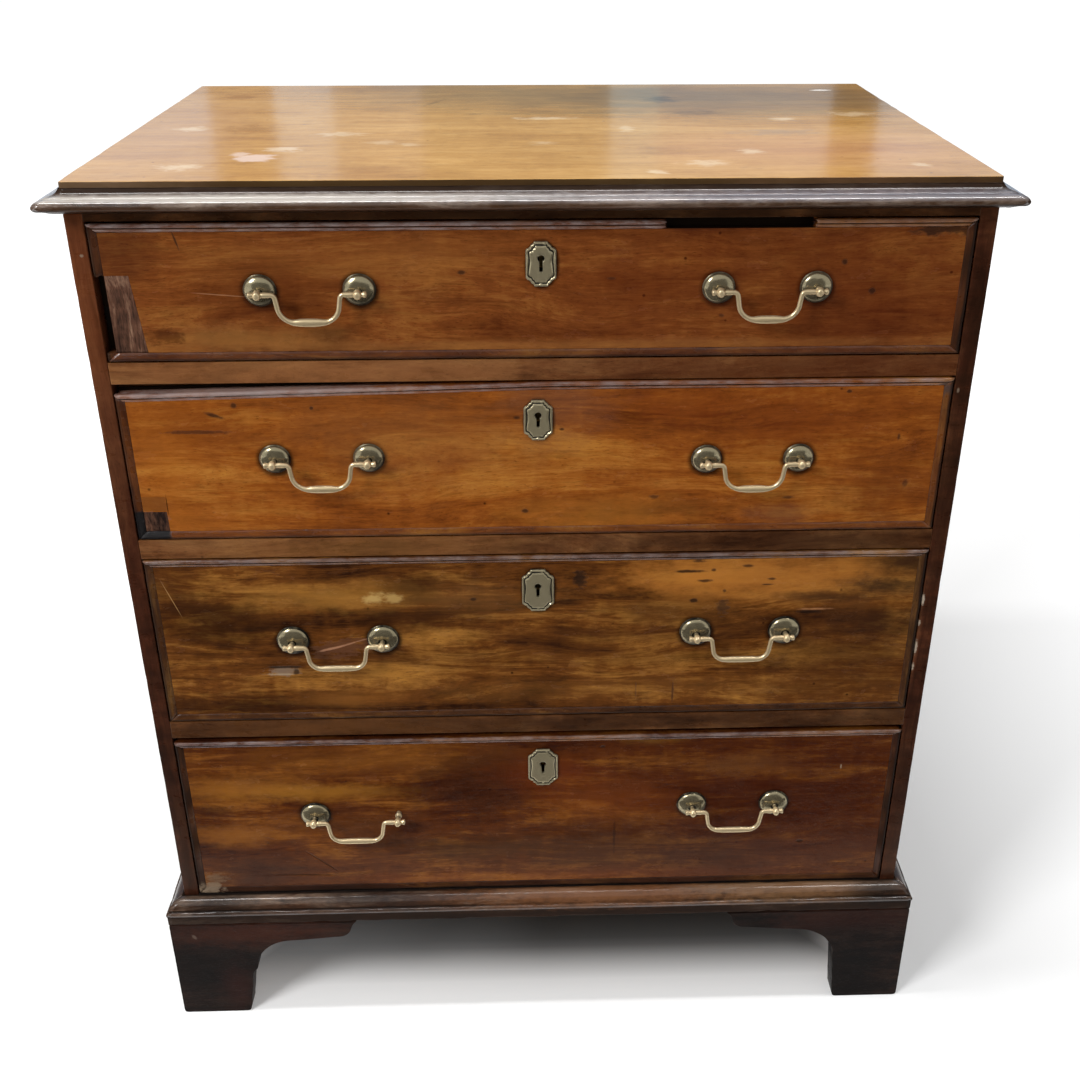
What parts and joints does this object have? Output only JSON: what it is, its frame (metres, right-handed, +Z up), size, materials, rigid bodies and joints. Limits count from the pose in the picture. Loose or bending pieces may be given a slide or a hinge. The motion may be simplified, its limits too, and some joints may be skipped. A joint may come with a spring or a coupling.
{
  "type": "bachelor's chest of drawers",
  "caption": "Small Georgian-style wooden chest of long graduated drawers with swan-neck brass handles, a moulded top and base, and bracket feet.",
  "frame": {"origin": "on the floor, under the middle of the chest", "axes": "+Z up, -Y out of the drawer fronts, +X to the right of someone facing them"},
  "size_m": [0.7626, 0.478, 0.881],
  "materials": {
    "top_wood": "old polish, worn to a soft shine",
    "moulding_wood": "dark old polish, bright on its edges",
    "carcase_wood": "dark old polish, chipped",
    "base_wood": "worn, greyed with dust",
    "foot_wood": "blackened old polish",
    "inner_wood": "bare, dry oak and pine",
    "bead_wood": "worn pale, with dark grooves",
    "drawer_1_front_wood": "reddish old polish",
    "drawer_2_front_wood": "amber old polish",
    "drawer_3_front_wood": "amber old polish, smoked",
    "drawer_4_front_wood": "dark old polish, worn through low down",
    "dull_brass": "tarnished",
    "bright_brass": "rubbed bright by hands",
    "lock_brass": "dull"
  },
  "bodies": {
    "carcase": {"top_board": "top_wood", "top_edge_moulding": "moulding_wood", "left_side": "carcase_wood", "right_side": "carcase_wood", "back_boards": "inner_wood", "bottom_board": "inner_wood", "front_rails": "carcase_wood", "drawer_runners": "inner_wood", "base_moulding": "base_wood", "front_left_foot": "foot_wood", "front_right_foot": "foot_wood", "rear_feet": "foot_wood"},
    "drawer_1": {"drawer_1_front": "drawer_1_front_wood", "drawer_1_cockbeads": "bead_wood", "drawer_1_sides": "inner_wood", "drawer_1_back": "inner_wood", "drawer_1_bottom": "inner_wood", "drawer_1_lock": "lock_brass", "drawer_1_key_plate": "dull_brass", "drawer_1_handle_roses": "dull_brass", "drawer_1_handle_posts": "dull_brass"},
    "drawer_1_lock_bolt": {"drawer_1_lock_bolt": "lock_brass"},
    "drawer_1_bail_left": {"drawer_1_bail_left": "bright_brass"},
    "drawer_1_bail_right": {"drawer_1_bail_right": "bright_brass"},
    "drawer_2": {"drawer_2_front": "drawer_2_front_wood", "drawer_2_cockbeads": "bead_wood", "drawer_2_sides": "inner_wood", "drawer_2_back": "inner_wood", "drawer_2_bottom": "inner_wood", "drawer_2_lock": "lock_brass", "drawer_2_key_plate": "dull_brass", "drawer_2_handle_roses": "dull_brass", "drawer_2_handle_posts": "dull_brass"},
    "drawer_2_lock_bolt": {"drawer_2_lock_bolt": "lock_brass"},
    "drawer_2_bail_left": {"drawer_2_bail_left": "bright_brass"},
    "drawer_2_bail_right": {"drawer_2_bail_right": "bright_brass"},
    "drawer_3": {"drawer_3_front": "drawer_3_front_wood", "drawer_3_cockbeads": "bead_wood", "drawer_3_sides": "inner_wood", "drawer_3_back": "inner_wood", "drawer_3_bottom": "inner_wood", "drawer_3_lock": "lock_brass", "drawer_3_key_plate": "dull_brass", "drawer_3_handle_roses": "dull_brass", "drawer_3_handle_posts": "dull_brass"},
    "drawer_3_lock_bolt": {"drawer_3_lock_bolt": "lock_brass"},
    "drawer_3_bail_left": {"drawer_3_bail_left": "bright_brass"},
    "drawer_3_bail_right": {"drawer_3_bail_right": "bright_brass"},
    "drawer_4": {"drawer_4_front": "drawer_4_front_wood", "drawer_4_cockbeads": "bead_wood", "drawer_4_sides": "inner_wood", "drawer_4_back": "inner_wood", "drawer_4_bottom": "inner_wood", "drawer_4_lock": "lock_brass", "drawer_4_key_plate": "dull_brass", "drawer_4_handle_roses": "dull_brass", "drawer_4_handle_posts": "dull_brass"},
    "drawer_4_lock_bolt": {"drawer_4_lock_bolt": "lock_brass"},
    "drawer_4_bail_left": {"drawer_4_bail_left": "bright_brass"},
    "drawer_4_bail_right": {"drawer_4_bail_right": "bright_brass"}
  },
  "joints": [
    {"name": "drawer_1_slide", "type": "slide", "parent": "carcase", "child": "drawer_1", "axis": [0, -1, 0], "range_m": [0, 0.33]},
    {"name": "drawer_1_lock_bolt_throw", "type": "slide", "parent": "drawer_1", "child": "drawer_1_lock_bolt", "axis": [0, 0, 1], "range_m": [0, 0.008]},
    {"name": "drawer_1_bail_left_swing", "type": "hinge", "parent": "drawer_1", "child": "drawer_1_bail_left", "pos_m": [-0.1813, -0.2305, 0.7926], "axis": [-1, 0, 0], "range_deg": [-20, 200]},
    {"name": "drawer_1_bail_right_swing", "type": "hinge", "parent": "drawer_1", "child": "drawer_1_bail_right", "pos_m": [0.1858, -0.2305, 0.7917], "axis": [-1, 0, 0], "range_deg": [-20, 200]},
    {"name": "drawer_2_slide", "type": "slide", "parent": "carcase", "child": "drawer_2", "axis": [0, -1, 0], "range_m": [0, 0.33]},
    {"name": "drawer_2_lock_bolt_throw", "type": "slide", "parent": "drawer_2", "child": "drawer_2_lock_bolt", "axis": [0, 0, 1], "range_m": [0, 0.008]},
    {"name": "drawer_2_bail_left_swing", "type": "hinge", "parent": "drawer_2", "child": "drawer_2_bail_left", "pos_m": [-0.184, -0.2305, 0.6435], "axis": [-1, 0, 0], "range_deg": [-20, 200]},
    {"name": "drawer_2_bail_right_swing", "type": "hinge", "parent": "drawer_2", "child": "drawer_2_bail_right", "pos_m": [0.1842, -0.2305, 0.6385], "axis": [-1, 0, 0], "range_deg": [-20, 200]},
    {"name": "drawer_3_slide", "type": "slide", "parent": "carcase", "child": "drawer_3", "axis": [0, -1, 0], "range_m": [0, 0.33]},
    {"name": "drawer_3_lock_bolt_throw", "type": "slide", "parent": "drawer_3", "child": "drawer_3_lock_bolt", "axis": [0, 0, 1], "range_m": [0, 0.008]},
    {"name": "drawer_3_bail_left_swing", "type": "hinge", "parent": "drawer_3", "child": "drawer_3_bail_left", "pos_m": [-0.1848, -0.2305, 0.4592], "axis": [-1, 0, 0], "range_deg": [-20, 200]},
    {"name": "drawer_3_bail_right_swing", "type": "hinge", "parent": "drawer_3", "child": "drawer_3_bail_right", "pos_m": [0.1844, -0.2305, 0.4618], "axis": [-1, 0, 0], "range_deg": [-20, 200]},
    {"name": "drawer_4_slide", "type": "slide", "parent": "carcase", "child": "drawer_4", "axis": [0, -1, 0], "range_m": [0, 0.33]},
    {"name": "drawer_4_lock_bolt_throw", "type": "slide", "parent": "drawer_4", "child": "drawer_4_lock_bolt", "axis": [0, 0, 1], "range_m": [0, 0.012]},
    {"name": "drawer_4_bail_left_swing", "type": "hinge", "parent": "drawer_4", "child": "drawer_4_bail_left", "pos_m": [-0.1821, -0.2305, 0.2526], "axis": [-1, 0, 0], "range_deg": [-20, 200]},
    {"name": "drawer_4_bail_right_swing", "type": "hinge", "parent": "drawer_4", "child": "drawer_4_bail_right", "pos_m": [0.1902, -0.2305, 0.257], "axis": [-1, 0, 0], "range_deg": [-20, 200]}
  ]
}
